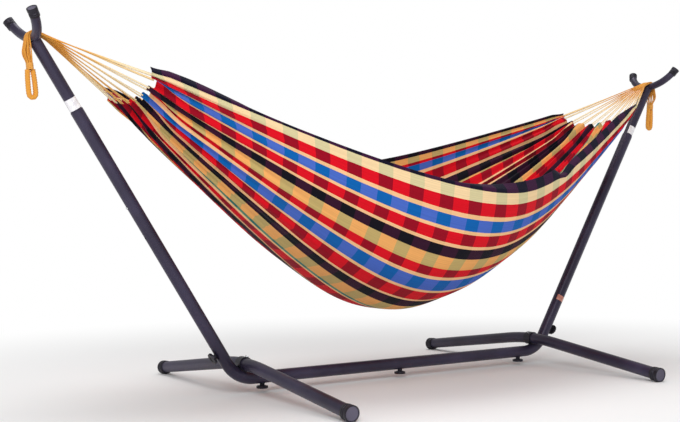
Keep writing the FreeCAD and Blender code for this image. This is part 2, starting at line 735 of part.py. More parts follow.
def make_bundles():
    inner_end, inner_touch, top, outer_touch, outer_end = bundle_lines()
    path = Part.Wire([Part.makeLine(inner_end, inner_touch),
                      Part.Arc(inner_touch, top, outer_touch).toShape(),
                      Part.makeLine(outer_touch, outer_end)])
    start_way = (inner_touch - inner_end).normalize()
    profile = ellipse_wire(inner_end, size("bundle_width"), size("bundle_thickness"), start_way)
    bundle = path.makePipeShell([profile], True, True)
    face_cut = Part.makeBox(size("bundle_width"), 2 * size("bundle_width"), 2 * size("bundle_width"),
                            Vector(BUNDLE_START.x - size("bundle_width"), -size("bundle_width"),
                                   BUNDLE_START.z - size("bundle_width")))
    bundle = Part.Solid(bundle) if bundle.ShapeType == "Shell" else bundle
    right = node(from_shape("hook_bundle_right", bundle.cut(face_cut)), "hook_bundle_right")
    node(mirrored("hook_bundle_left", right), "hook_bundle_left")

    # the spare length hangs outside the hook and narrows to a whipped neck
    neck = BUNDLE_END + TAIL_WAY * size("tail_drop")
    sections = [ellipse_wire(BUNDLE_END, size("bundle_width"), size("bundle_thickness"), TAIL_WAY),
                ellipse_wire(neck, size("tail_neck_width"), size("tail_neck_thickness"), TAIL_WAY)]
    right = node(from_shape("tail_hank_right", Part.makeLoft(sections, True, True)),
                 "tail_hank_right")
    node(mirrored("tail_hank_left", right), "tail_hank_left")

    wrap = size("whipping_thickness")
    low = neck + TAIL_WAY * size("whipping_length")
    rings = [ellipse_wire(spot, size("tail_neck_width") + 2 * wrap,
                          size("tail_neck_thickness") + 2 * wrap, TAIL_WAY) for spot in (neck, low)]
    right = node(from_shape("tail_whipping_right", Part.makeLoft(rings, True, True)),
                 "tail_whipping_right")
    node(mirrored("tail_whipping_left", right), "tail_whipping_left")

    # the wrapped eye below the whipping: a long loop, flat in the XZ plane
    radius = (size("eye_width") - size("eye_cord_diameter")) / 2
    side = TAIL_WAY.cross(ACROSS)
    start = low + TAIL_WAY * 0.5
    run = size("eye_height") - radius - size("eye_cord_diameter") / 2
    bend = start + TAIL_WAY * run
    legs = [Part.makeLine(start - side * radius, bend - side * radius),
            Part.Arc(bend - side * radius, bend + TAIL_WAY * radius, bend + side * radius).toShape(),
            Part.makeLine(bend + side * radius, start + side * radius)]
    ring = Part.Wire([Part.Circle(start - side * radius, TAIL_WAY,
                                  size("eye_cord_diameter") / 2).toShape()])
    eye = Part.Wire(legs).makePipeShell([ring], True, True)
    right = node(from_shape("tail_eye_right", eye), "tail_eye_right")
    node(mirrored("tail_eye_left", right), "tail_eye_left")


def make_clew_cords():
    """Two cords from the bundle to each bunch of cloth along the bed's end."""
    half, gap = size("bed_half_length"), size("cord_gap")
    count = int(size("bunch_count")) * 2
    section = Part.BSplineCurve()
    section.interpolate(bed_section(half, size("bed_thickness") / 2))
    first, last = section.FirstParameter, section.LastParameter
    start_x = BUNDLE_START.x - gap
    cords = []
    for index in range(count):
        share = (index + 0.5) / count
        goal = section.value(first + (last - first) * share)
        goal.x = half + gap + size("cord_diameter")
        column = (index - (count - 1) / 2) * size("cord_column_pitch")
        row = (0.5 if index % 2 else -0.5) * size("cord_row_pitch")
        start = Vector(start_x - size("cord_diameter"), column, BUNDLE_START.z + row)
        cords.append(Part.makeCylinder(size("cord_diameter") / 2, (goal - start).Length, start,
                                       goal - start))
    right = node(from_shape("clew_cords_right", Part.makeCompound(cords)), "clew_cords_right")
    node(mirrored("clew_cords_left", right), "clew_cords_left")


# ---------------------------------------------------------------- build, check and export

make_beam()
make_base()
make_uprights()
make_hook_tubes()
make_v_hooks()
make_feet()
make_foot_bolts()
make_hand_screws()
make_snap_buttons()
make_patches()
make_bed()
make_bundles()
make_clew_cords()
doc.recompute()

for obj in doc.Objects:
    if "Invalid" in obj.State or "Error" in obj.State:
        raise RuntimeError(f"{obj.Name} did not build: {obj.State}")
for obj in NODES:
    if obj.Shape.isNull() or not obj.Shape.isValid():
        raise RuntimeError(f"{obj.Label} has no valid shape")

os.makedirs("parts", exist_ok=True)
for obj in NODES:
    obj.Shape.exportStep(f"parts/{obj.Label}.step")
print(len(NODES), "pieces written")
print("crotch at", [round(c, 1) for c in CROTCH], "swing axis height", round(BUNDLE_START.z, 2))
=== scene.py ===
# %% [markdown]
# # A striped cotton hammock on a steel stand
# The stand, its screws and the plain solids of the cloth and cords come from the CAD model, in metres.
# This lesson keeps every steel tube where it is and gives it its paint. It then makes what a CAD model
# leaves plain: the twisted cords, the woven cloth with its gathers, and the moulded caps and knobs.

import json
import math
import random

import bpy
import numpy as np
from mathutils import Matrix, Vector


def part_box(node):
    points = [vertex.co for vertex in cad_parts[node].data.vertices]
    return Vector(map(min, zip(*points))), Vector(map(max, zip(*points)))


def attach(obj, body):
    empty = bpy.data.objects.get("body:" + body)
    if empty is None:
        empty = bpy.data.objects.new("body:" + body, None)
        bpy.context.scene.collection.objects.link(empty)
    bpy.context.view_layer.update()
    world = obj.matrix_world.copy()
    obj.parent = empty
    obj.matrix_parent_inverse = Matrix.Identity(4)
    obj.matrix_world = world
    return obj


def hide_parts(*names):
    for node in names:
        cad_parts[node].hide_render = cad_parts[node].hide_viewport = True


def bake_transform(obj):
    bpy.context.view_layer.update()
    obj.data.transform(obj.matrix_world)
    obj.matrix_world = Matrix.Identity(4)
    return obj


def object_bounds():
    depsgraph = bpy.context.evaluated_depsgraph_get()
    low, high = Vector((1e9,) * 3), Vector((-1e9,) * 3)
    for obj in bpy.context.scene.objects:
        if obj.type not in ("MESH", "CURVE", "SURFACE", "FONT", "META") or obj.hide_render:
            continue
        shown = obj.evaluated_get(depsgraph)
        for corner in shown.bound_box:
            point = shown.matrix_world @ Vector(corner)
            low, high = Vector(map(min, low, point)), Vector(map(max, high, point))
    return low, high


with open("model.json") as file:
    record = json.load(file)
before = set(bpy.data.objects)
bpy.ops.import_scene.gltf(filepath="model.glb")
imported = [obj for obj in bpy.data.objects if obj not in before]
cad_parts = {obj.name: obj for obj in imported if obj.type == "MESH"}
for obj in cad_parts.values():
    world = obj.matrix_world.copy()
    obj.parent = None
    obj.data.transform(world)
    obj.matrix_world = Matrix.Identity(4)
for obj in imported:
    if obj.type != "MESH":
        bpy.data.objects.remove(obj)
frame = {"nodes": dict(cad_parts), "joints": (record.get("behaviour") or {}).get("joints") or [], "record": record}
cad_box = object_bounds()
joints = {joint["name"]: joint for joint in frame["joints"]}
print("pieces in the frame:", len(frame["nodes"]), "box:", cad_box)

# %% [markdown]
# ## Camera
# The camera stands in front of the stand and well to its left, at about half its height, and looks almost
# level. A long lens keeps the near and far feet in proportion. Its three axes are worked out from a turn, a
# tilt and a slight roll, because that is how a tripod head is set.

# %% Camera
turn, tilt, roll = 0.5751, 0.0106, -0.0131
forward = Vector((math.sin(turn) * math.cos(tilt), math.cos(turn) * math.cos(tilt), math.sin(tilt)))
level = Vector((math.cos(turn), -math.sin(turn), 0))
upright = level.cross(forward)
right_way = level * math.cos(roll) + upright * math.sin(roll)
up_way = upright * math.cos(roll) - level * math.sin(roll)

lens = bpy.data.cameras.new("camera")
lens.lens, lens.sensor_width, lens.clip_end = 58.7, 36, 60
camera = bpy.data.objects.new("camera", lens)
camera.matrix_world = Matrix((right_way, up_way, -forward)).transposed().to_4x4()
camera.location = (-2.1698, -2.9946, 0.5169)
bpy.context.scene.collection.objects.link(camera)
bpy.context.scene.camera = camera
print("camera looks along", [round(value, 3) for value in forward])

# %% [markdown]
# ## The lines of the cloth
# The bed is a long trough. Across it, each section is half an oval on the near side and half of another on
# the far side. Along it, the rims and the bottom line sag from both ends like a rounded V. The cords have to
# start on the cloth's ends, so these lines come first. Sizes are in metres, measured from the hooks' height.

# %% Section of the cloth
hook_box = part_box("hook_bundle_right")
crotch = Vector((hook_box[1][0] - 0.0212, 0, hook_box[1][2] - 0.0212))


def bed_line(x, end, middle, roundness, low=0.0):
    """A line along the bed, from middle at its lowest point out to end at both ends."""
    share = np.abs(x - low) / (0.95 + np.where(x > low, -low, low))
    return middle + (end - middle) * (np.hypot(share, roundness) - roundness) / (
        math.hypot(1, roundness) - roundness)


angles = np.linspace(-math.pi / 2, math.pi / 2, 401)


def bed_section(x):
    """Points across the cloth at x, and how far along the section each one is."""
    bottom = bed_line(x, 0.164, 0.803, 0.35, -0.053)
    near = angles < 0
    half_width = np.where(near, bed_line(x, 0.194, 0.461, 0.25), bed_line(x, 0.194, 0.433, 0.25))
    rim = np.where(near, bed_line(x, 0.091, 0.424, 0.43, 0.102), bed_line(x, 0.091, 0.304, 0.32))
    y = (half_width - 0.002) * np.sin(angles)
    z = crotch.z - rim - (bottom - rim - 0.002) * np.cos(angles)
    along = np.concatenate(([0], np.cumsum(np.hypot(np.diff(y), np.diff(z)))))
    return y, z, along


def bed_spot(x, share):
    """The point at that share of the way across the cloth, from the near rim, and the way out of it."""
    y, z, along = bed_section(x)
    across = np.asarray(share) * along[-1]
    py, pz = np.interp(across, along, y), np.interp(across, along, z)
    ty, tz = np.gradient(y, along), np.gradient(z, along)
    ny, nz = np.interp(across, along, tz), -np.interp(across, along, ty)
    size = np.hypot(ny, nz)
    return py, pz, ny / size, nz / size, along[-1]


print("cloth across the middle, m:", round(float(bed_spot(0.0, 0.5)[4]), 3),
      "and at an end, m:", round(float(bed_spot(0.95, 0.5)[4]), 3))

# %% [markdown]
# ## The cords
# At each end 18 cotton cords run from the gathered cloth to the hook. Side by side they make a flat bundle
# that goes over the bar of the hook, hangs down behind it and is whipped into a neck. Each cord is one smooth
# NURBS line that a few control points pull into place, because a soft cord under load has no corners.

# %% Points and lines of the cords
cord_size, cords_per_end, cord_sides = 0.0035, 18, 12
cord_pitch, layer_half = 0.0019, 0.0018
fan_start = 0.946
slope, hang = math.radians(22), math.radians(5)
run_way = Vector((math.cos(slope), 0, math.sin(slope)))
run_up = Vector((-math.sin(slope), 0, math.cos(slope)))
tail_way = Vector((-math.sin(hang), 0, -math.cos(hang)))
tail_out = Vector((math.cos(hang), 0, -math.sin(hang)))
bundle_radius = 0.0172
tail_top = crotch + tail_out * bundle_radius + tail_way * 0.002
neck = tail_top + tail_way * 0.066
chance = random.Random(7)


def cord_route(index):
    """The points of one cord at the right-hand end, from the cloth to inside the whipping."""
    bunch, mate = divmod(index, 2)
    y, z = bed_spot(fan_start, (bunch + 0.5) / 9 + (mate - 0.5) * 0.030)[:2]
    start = Vector((fan_start, float(y), float(z)))
    side = (index - 8.5) * cord_pitch
    row = layer_half if index % 2 else -layer_half
    radius = bundle_radius + row
    gather = crotch + run_up * radius - run_way * 0.032 + Vector((0, side, 0))
    points = [start]
    for share in (0.3, 0.62, 0.86):
        drift = Vector((0, chance.uniform(-1, 1), chance.uniform(-1, 1))) * 0.0022 * (1 - share)
        points.append(start.lerp(gather, share) + drift)
    points.append(gather)
    for turned in (92.5, 53.5, 14.5):
        spot = Vector((math.cos(math.radians(turned)), 0, math.sin(math.radians(turned))))
        points.append(crotch + spot * radius / math.cos(math.radians(19.5)) + Vector((0, side, 0)))
    layer = (-0.0048, 0.0016, -0.0016, 0.0048)[index % 4]
    loose = 0.0035 + layer + chance.uniform(0.0, 0.003)
    for bulge, down, spread in ((0.7, 0.018, 1.15), (1.3, 0.040, 1.2)):
        points.append(tail_top + tail_out * (row + loose * bulge) + tail_way * down
                      + Vector((0, side * spread, 0)))
    points.append(neck + tail_out * layer + Vector((0, side * 0.56, 0)))
    points.append(neck + tail_out * layer + tail_way * 0.013 + Vector((0, side * 0.56, 0)))
    return points


def smooth_line(name, route, spacing):
    """Evenly spaced points along the route's own NURBS curve."""
    curve = bpy.data.curves.new(name, "CURVE")
    curve.dimensions = "3D"
    spline = curve.splines.new("NURBS")
    spline.points.add(len(route) - 1)
    for point, place in zip(spline.points, route):
        point.co = (*place, 1)
    spline.order_u = 3
    spline.use_endpoint_u = True
    spline.resolution_u = 24
    holder = bpy.data.objects.new(name, curve)
    line = bpy.data.meshes.new_from_object(holder)
    points = np.array([vertex.co for vertex in line.vertices])
    bpy.data.objects.remove(holder)
    bpy.data.curves.remove(curve)
    bpy.data.meshes.remove(line)
    along = np.concatenate(([0], np.cumsum(np.linalg.norm(np.diff(points, axis=0), axis=1))))
    count = int(along[-1] / spacing) + 1
    even = np.linspace(0, along[-1], count)
    return np.stack([np.interp(even, along, points[:, axis]) for axis in range(3)], 1), even


print("points of one cord:", len(cord_route(0)))

# %% [markdown]
# ## Twisted strands
# A cotton cord is three plies twisted together. Near the hook its outline is a circle with three soft lobes
# that turn as they go along; near the cloth it opens into a flat ribbon of yarns. A ring of points is carried
# along the line without letting it spin, and the twist is added, so the grooves are real and catch the light.

# %% Ropes as meshes
def carried_frames(points, lead):
    """For each point of a line, two directions across it that turn as little as possible."""
    heads = np.gradient(points, axis=0)
    heads /= np.linalg.norm(heads, axis=1)[:, None]
    first = np.array(lead) - heads[0] * (heads[0] @ np.array(lead))
    across = [first / np.linalg.norm(first)]
    for head in heads[1:]:
        side = across[-1] - head * (across[-1] @ head)
        across.append(side / np.linalg.norm(side))
    across = np.array(across)
    return across, np.cross(heads, across)


def rope_mesh(name, points, along, radius, sides, outline, lead=(0.31, 0.87, 0.38)):
    """A closed tube; outline(turn, along) gives the swelling of its surface, about 1."""
    first, second = carried_frames(points, lead)
    turns = np.arange(sides) * 2 * math.pi / sides
    reach = radius * outline(turns[None, :], along[:, None])
    rings = (points[:, None, :] + first[:, None, :] * (reach * np.cos(turns))[:, :, None]
             + second[:, None, :] * (reach * np.sin(turns))[:, :, None])
    count = len(points)
    faces = [(ring * sides + side, ring * sides + (side + 1) % sides,
              (ring + 1) * sides + (side + 1) % sides, (ring + 1) * sides + side)
             for ring in range(count - 1) for side in range(sides)]
    faces += [tuple(range(sides - 1, -1, -1)), tuple(range((count - 1) * sides, count * sides))]
    mesh = bpy.data.meshes.new(name)
    mesh.from_pydata(rings.reshape(-1, 3).tolist(), [], faces)
    mesh.polygons.foreach_set("use_smooth", [True] * len(faces))
    uv = mesh.uv_layers.new(name="lay")
    corners = np.empty(len(mesh.loops), dtype=np.int32)
    mesh.loops.foreach_get("vertex_index", corners)
    around = (corners % sides) / sides
    uv.data.foreach_set("uv", np.stack([around, along[corners // sides]], 1).astype(np.float32).ravel())
    piece = bpy.data.objects.new(name, mesh)
    bpy.context.scene.collection.objects.link(piece)
    return piece


def ease(value, low, high):
    """0 below low, 1 above high, and a soft step between."""
    share = np.clip((np.asarray(value, dtype=float) - low) / (high - low), 0, 1)
    return share * share * (3 - 2 * share)


def three_ply(turns, along):
    """Twisted plies near the hook, opening into a flat ribbon of yarns near the cloth."""
    flat = 1 - ease(along, 0.04, 0.24)
    ply = 1 + 0.13 * np.cos(3 * (turns - 2 * math.pi * along / 0.0125))
    ribbon = 1 / np.hypot(np.cos(turns) / 2.3, np.sin(turns) / 0.75) + 0.10 * np.cos(6 * turns)
    return ply * (1 - flat) + ribbon * flat


cords, cord_lengths = [], []
for end, sign in (("right", 1), ("left", -1)):
    for index in range(cords_per_end):
        route = [Vector((point.x * sign, point.y, point.z)) for point in cord_route(index)]
        line, along = smooth_line(f"cord_{end}_{index + 1:02d}", route, 0.0016)
        ny, nz = bed_spot(fan_start, (index + 0.5) / cords_per_end)[2:4]
        cord = rope_mesh(f"cord_{end}_{index + 1:02d}", line, along, cord_size / 2, cord_sides, three_ply,
                         lead=(0, -float(nz), float(ny)))
        tone = cord.data.attributes.new("tone", "FLOAT", "POINT")
        # Five middle cords at the left end are deep gold all along: painted shade. Every fourth cord is a little
        # more golden: its dye.
        shade_and_dye_tone = 0.75 if 7 <= index <= 11 and end == "left" else 0.25 * (index % 4 == 1)
        golden = np.maximum(ease(along, 0.06, 0.26), shade_and_dye_tone)
        tone.data.foreach_set("value", np.repeat(golden, cord_sides).astype(np.float32))
        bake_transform(cord)
        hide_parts(f"clew_cords_{end}", f"hook_bundle_{end}", f"tail_hank_{end}")
        cords.append(cord)
        cord_lengths.append(float(along[-1]))
print("cords:", len(cords), "from", round(min(cord_lengths), 3), "to", round(max(cord_lengths), 3), "m long")

# %% [markdown]
# ## Eyes and whippings
# Below the hook the bundle is tied: a cord is wound tightly round its neck, and a thick wrapped eye hangs
# from it. The eye is a rope bound with fine cord all along, so its outline swells at each turn. Each turn of
# the whipping is a torus stretched to fit the neck, and the turns of one end are joined into one piece.

# %% Eyes
eye_size = 0.014
eye_top = neck + tail_way * 0.0185


def bound_rope(turns, along):
    """A swelling at each turn of the fine cord bound round the rope."""
    return 0.90 + 0.16 * np.abs(np.sin(math.pi * along / 0.0068 + 0.5 * turns))


def eye_route(sign):
    """Down one leg, round the bottom and up the other leg."""
    spots = [(-0.0072, 0), (-0.0092, 0.022), (-0.0098, 0.048)]
    for turned in (-150, -90, -30):
        reach = 0.0096 / math.cos(math.radians(30))
        spots.append((reach * math.cos(math.radians(turned)), 0.066 - reach * math.sin(math.radians(turned))))
    spots += [(0.0098, 0.048), (0.0092, 0.022), (0.0072, 0)]
    points = [eye_top + tail_out * across + tail_way * down for across, down in spots]
    return [Vector((point.x * sign, point.y, point.z)) for point in points]


eyes = []
for end, sign in (("right", 1), ("left", -1)):
    line, along = smooth_line(f"eye_{end}", eye_route(sign), 0.0006)
    eye = rope_mesh(f"eye_{end}", line, along, eye_size / 2, 16, bound_rope)
    tone = eye.data.attributes.new("tone", "FLOAT", "POINT")
    tone.data.foreach_set("value", [1.0] * len(eye.data.vertices))
    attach(eye, "stand")
    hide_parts(f"tail_eye_{end}")
    eyes.append((eye, line, float(along[-1])))
print("eye rope, m:", round(eyes[0][2], 3))

# %% Whippings
whipping_turns = 7


def deselect_all():
    for thing in bpy.context.selected_objects:
        thing.select_set(False)


def place_mesh(piece, matrix):
    """Moves a piece's mesh, and leaves its object at the origin."""
    piece.data.transform(matrix)
    piece.matrix_world = Matrix.Identity(4)


def axes(x, y, z, origin):
    matrix = Matrix((x, y, z)).transposed().to_4x4()
    matrix.translation = origin
    return matrix


def joined(pieces, name):
    """Several objects made into one, with one mesh."""
    deselect_all()
    for piece in pieces:
        piece.select_set(True)
    bpy.context.view_layer.objects.active = pieces[0]
    if len(pieces) > 1:
        bpy.ops.object.join()
    pieces[0].name = pieces[0].data.name = name
    return pieces[0]


def whipping(end, sign):
    turns = []
    for index in range(whipping_turns):
        deselect_all()
        bpy.ops.mesh.primitive_torus_add(major_segments=40, minor_segments=10, major_radius=0.0100,
                                         minor_radius=0.0016)
        ring = bpy.context.object
        bpy.ops.object.mode_set(mode="EDIT")
        bpy.ops.mesh.select_all(action="SELECT")
        bpy.ops.transform.resize(value=(0.86, 1.22, 1))
        bpy.ops.object.mode_set(mode="OBJECT")
        down = neck + tail_way * (0.0016 + 0.0026 * index)
        lean = (tail_way + tail_out * 0.05).normalized()
        out = lean.cross(Vector((0, 1, 0)))
        matrix = axes(out, Vector((0, 1, 0)), out.cross(Vector((0, 1, 0))), down)
        place_mesh(ring, Matrix.Scale(sign, 4, (1, 0, 0)) @ matrix)
        if sign < 0:
            ring.data.flip_normals()
        turns.append(ring)
    piece = joined(turns, f"whipping_{end}")
    bpy.ops.object.shade_smooth()
    tone = piece.data.attributes.new("tone", "FLOAT", "POINT")
    tone.data.foreach_set("value", [0.9] * len(piece.data.vertices))
    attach(piece, "stand")
    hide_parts(f"tail_whipping_{end}")
    return piece


whippings = [whipping("right", 1), whipping("left", -1)]
print("turns of whipping at each end:", whipping_turns)

# %% [markdown]
# ## The cloth
# The hammock is one woven sheet about 1.45 m wide. In the middle it is nearly smooth. Towards the ends it is
# gathered: its width has to fit an arc a third as long, so it folds into pleats, and the pleats draw together
# in nine bunches that the cords are tied to. The sheet is made as a grid over the trough's sections, moved in
# and out by the pleats, and given its thickness with Solidify. The near edge has a woven strip, a part of the
# same grid, that lies folded in left of the middle and stands up just right of it.

# %% Grid of the cloth
cloth_width, strip_width = 1.45, 0.026
columns, rows, strip_columns = 282, 151, 6
bunches, pleats = 9, 27
cloth_end = 0.952
pleat_chance = np.random.default_rng(11)
pleat_reach = np.repeat(pleat_chance.uniform(-0.10, 0.12, pleats), 2)
pleat_height = np.repeat(pleat_chance.uniform(0.8, 1.15, pleats), 2)
bunch_shift = pleat_chance.uniform(-0.006, 0.005, (2, bunches))

share = np.linspace(0, 1, columns)
station = np.sin(np.linspace(-1, 1, rows) * math.pi / 2 * 0.72) / math.sin(math.pi / 2 * 0.72) * cloth_end
grid = np.zeros((rows, columns + strip_columns, 3))


def strip_lean(x):
    """How far the near strip leans in over the bed, in degrees from upright."""
    spots = [-0.95, -0.86, -0.72, -0.58, -0.14, 0.02, 0.18, 0.34, 0.40, 0.46, 0.60, 0.82, 0.95]
    leans = [38, 40, 62, 93, 93, 60, 18, 16, 80, 62, 34, 36, 50]
    return math.radians(np.interp(x, spots, leans))


for row, x in enumerate(station):
    reach = abs(x)
    draw = 0.5 * float(ease(reach, 0.62, 0.94))
    phase = 2 * math.pi * bunches * share
    packed = share + draw * np.sin(phase) / (2 * math.pi * bunches)
    y, z, ny, nz, arc = bed_spot(x, packed)
    wave = 2 * math.pi * pleats * share
    length = arc / pleats
    full = length / (2 * math.pi) * math.sqrt(max(2 * ((cloth_width / arc) ** 2 - 1), 0))
    own = np.interp(share * (2 * pleats - 1), np.arange(2 * pleats), pleat_reach)
    tall = np.interp(share * (2 * pleats - 1), np.arange(2 * pleats), pleat_height)
    fold = ease(reach + own, 0.34, 0.95) ** 1.2 * tall
    edge = np.sin(math.pi * share) ** 0.25
    swell = full * fold * np.cos(wave + math.pi) * edge
    soft = 0.0028 * np.sin(2 * math.pi * (3.1 * share + 0.7 * x)) * np.sin(2 * math.pi * (1.7 * x + share))
    soft += 0.0016 * np.sin(2 * math.pi * (7.3 * share - 1.1 * x) + 1.3)
    swell += soft * edge * (1 - ease(reach, 0.5, 0.9))
    y, z = y + ny * swell, z + nz * swell
    if reach > 0.86:
        middle = (np.floor(share * bunches).clip(0, bunches - 1) + 0.5) / bunches
        cy, cz = bed_spot(x, middle)[:2]
        pull = 1 - 0.34 * float(ease(reach, 0.90, cloth_end))
        y, z = cy + (y - cy) * pull, cz + (z - cz) * pull
    inner = ease(np.minimum(share, 1 - share), 0.03, 0.07)
    nook = 0.024 * (0.5 + 0.5 * np.cos(phase)) * inner * float(ease(reach, 0.84, cloth_end))
    uneven = bunch_shift[int(x > 0)][np.floor(share * bunches).astype(int).clip(0, bunches - 1)]
    shift = -nook + uneven * float(ease(reach, 0.84, cloth_end))
    dip = 0.013 * math.exp(-((x - 0.41) / 0.035) ** 2) * np.exp(-(share / 0.02) ** 2)
    grid[row, strip_columns:, 0] = x + math.copysign(1, x) * shift
    grid[row, strip_columns:, 1] = y
    grid[row, strip_columns:, 2] = z - dip
    lean = strip_lean(x)
    rim = grid[row, strip_columns].copy()
    taper = 1 - (0.88 if x > 0 else 0.35) * float(ease(reach, 0.78, 0.955))
    for column in range(strip_columns):
        step = (strip_columns - column) / strip_columns
        turned = lean * min(1, 0.80 + 0.25 * step)
        grid[row, column] = rim + np.array((0, math.sin(turned), math.cos(turned))) * (
            strip_width * step * taper)
print("cloth grid:", grid.shape[0], "by", grid.shape[1])

# %% [markdown]
# The cloth's own map is laid in metres: along the yarns of the warp, and across from the near edge. A pattern
# that reads it follows the weave wherever the cloth goes, as the stripes of a real loom do.

# %% Cloth as a mesh
across_count = columns + strip_columns
smooth = np.zeros((rows, columns, 3))
for row, x in enumerate(station):
    y, z = bed_spot(x, share)[:2]
    smooth[row] = np.stack([np.full(columns, x), y, z], 1)
run = np.zeros((rows, columns))
run[1:] = np.cumsum(np.linalg.norm(np.diff(smooth, axis=0), axis=2), axis=0)
run -= run[rows // 2]
run = np.concatenate([np.repeat(run[:, :1], strip_columns, 1), run], 1)
wide = np.concatenate([np.linspace(-strip_width, 0, strip_columns, endpoint=False), share * cloth_width])

corner = np.arange(rows * across_count).reshape(rows, across_count)
quads = np.stack([corner[:-1, :-1], corner[1:, :-1], corner[1:, 1:], corner[:-1, 1:]], -1).reshape(-1, 4)
mesh = bpy.data.meshes.new("cloth")
mesh.from_pydata(grid.reshape(-1, 3).tolist(), [], quads.tolist())
mesh.polygons.foreach_set("use_smooth", [True] * len(quads))
uv = mesh.uv_layers.new(name="weave")
places = np.stack([run, np.broadcast_to(wide, run.shape)], -1).reshape(-1, 2)
uv.data.foreach_set("uv", places[quads.ravel()].astype(np.float32).ravel())
cloth = bpy.data.objects.new("striped_cloth", mesh)
bpy.context.scene.collection.objects.link(cloth)

deselect_all()
cloth.select_set(True)
bpy.context.view_layer.objects.active = cloth
thickness = cloth.modifiers.new("thickness", "SOLIDIFY")
thickness.thickness, thickness.offset = 0.0015, 0.0
bpy.ops.object.modifier_apply(modifier="thickness")
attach(cloth, "hammock")
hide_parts("hammock_bed")

# %% [markdown]
# ## Materials: the helper
# Every finish is built from Blender's own nodes. One short helper adds a node, links the sockets it is given
# and sets the rest, so that each finish reads like a recipe.

# %% Helper for nodes
def new_material(name, colour, roughness, **sockets):
    material = bpy.data.materials.new(name)
    material.use_nodes = True
    shader = material.node_tree.nodes["Principled BSDF"]
    shader.inputs["Base Color"].default_value = (*colour, 1)
    shader.inputs["Roughness"].default_value = roughness
    for socket, value in sockets.items():
        shader.inputs[socket.replace("_", " ")].default_value = value
    return material, shader


def add(material, kind, settings=None, **inputs):
    """Adds a node. A value that is a socket is linked; anything else is set."""
    made = material.node_tree.nodes.new("ShaderNode" + kind)
    for key, value in (settings or {}).items():
        setattr(made, key, value)
    for key, value in inputs.items():
        socket = made.inputs[int(key[1:])] if key[1:].isdigit() else made.inputs[key.replace("_", " ")]
        if isinstance(value, bpy.types.NodeSocket):
            material.node_tree.links.new(value, socket)
        else:
            socket.default_value = value
    return made


def maths(material, operation, first, second=0.0, third=0.0):
    made = add(material, "Math", {"operation": operation}, _0=first, _1=second, _2=third)
    return made.outputs[0]


def ramp(material, factor, stops, interpolation="LINEAR"):
    made = add(material, "ValToRGB", Fac=factor)
    made.color_ramp.interpolation = interpolation
    for index, (place, colour) in enumerate(stops):
        stop = (made.color_ramp.elements[index] if index < 2 else made.color_ramp.elements.new(place))
        stop.position, stop.color = place, (*colour, 1)
    return made.outputs["Color"]


def mix(material, kind, factor, first, second):
    made = add(material, "Mix", {"data_type": "RGBA", "blend_type": kind})
    for socket, value in ((made.inputs[0], factor), (made.inputs[6], first), (made.inputs[7], second)):
        if isinstance(value, bpy.types.NodeSocket):
            material.node_tree.links.new(value, socket)
        else:
            socket.default_value = value
    return made.outputs[2]


def into(material, output, socket):
    material.node_tree.links.new(output, socket)


def linear(code):
    """A colour written as on a paint chart, as the linear values that Blender uses."""
    parts = [int(code[index:index + 2], 16) / 255 for index in (1, 3, 5)]
    return tuple(part / 12.92 if part <= 0.04045 else ((part + 0.055) / 1.055) ** 2.4 for part in parts)


def noise(material, vector, scale, detail=3.0, rough=0.5):
    return add(material, "TexNoise", Vector=vector, Scale=scale, Detail=detail, Roughness=rough).outputs[0]


print("helper ready; linear value of mid grey:", round(linear("#808080")[0], 3))

# %% [markdown]
# ## Paint, plastic and steel
# The tubes have a baked powder coat: near black with a little violet in it, satin, with a skin like very fine
# orange peel. Broad noise shifts its tone and gloss a little, fine noise gives the peel. Moulded caps are
# blacker with a leathery grain; the dished face of a cap is a lighter grey, which is painted sheen. Bolts are
# zinc plated, so they are a metal with small flat crystals.

# %% Finishes of the stand
def coated(name, dark, light, gloss, scale, depth):
    material, shader = new_material(name, light, gloss[0], IOR=1.5, Specular_IOR_Level=0.45,
                                    Specular_Tint=(0.86, 0.80, 1.0, 1.0))
    spot = add(material, "TexCoord").outputs["Object"]
    broad = noise(material, spot, 7.0)
    specks = noise(material, spot, 160.0, 2.0)
    colour = ramp(material, broad, [(0.3, dark), (0.72, light)])
    dust = ramp(material, specks, [(0.62, (0, 0, 0)), (0.78, (1, 1, 1))])
    dusted = mix(material, "ADD", maths(material, "MULTIPLY", dust, 0.02), colour, (0.5, 0.5, 0.55, 1))
    into(material, dusted, shader.inputs["Base Color"])
    shine = add(material, "MapRange", Value=broad, From_Min=0.3, From_Max=0.7, To_Min=gloss[0],
                To_Max=gloss[1]).outputs[0]
    into(material, shine, shader.inputs["Roughness"])
    bump = add(material, "Bump", Strength=depth, Distance=0.0006, Height=noise(material, spot, scale, 2.0))
    into(material, bump.outputs[0], shader.inputs["Normal"])
    return material


charcoal = coated("charcoal_powder_coat", linear("#221E2D"), linear("#39344A"), (0.30, 0.42), 620.0, 0.25)
collar_black = coated("black_collar", linear("#121116"), linear("#1C1B21"), (0.30, 0.40), 620.0, 0.2)
plastic = coated("black_plastic", linear("#101014"), linear("#1B1A20"), (0.40, 0.55), 1400.0, 0.35)
# The lighter grey of a cap's dished face is painted sheen.
cap_face_painted_sheen = coated("cap_face_with_painted_sheen", linear("#4E4A5A"), linear("#676374"), (0.45, 0.6), 1400.0, 0.3)


def zinc():
    material, shader = new_material("zinc_steel", (0.62, 0.63, 0.65), 0.34, Metallic=1.0)
    spot = add(material, "TexCoord").outputs["Object"]
    crystals = add(material, "TexVoronoi", {"feature": "F1"}, Vector=spot, Scale=420.0).outputs["Color"]
    grey = add(material, "RGBToBW", Color=crystals).outputs[0]
    into(material, ramp(material, grey, [(0.1, (0.42, 0.43, 0.45)), (0.9, (0.72, 0.73, 0.74))]),
         shader.inputs["Base Color"])
    into(material, maths(material, "MULTIPLY_ADD", grey, 0.2, 0.25), shader.inputs["Roughness"])
    return material


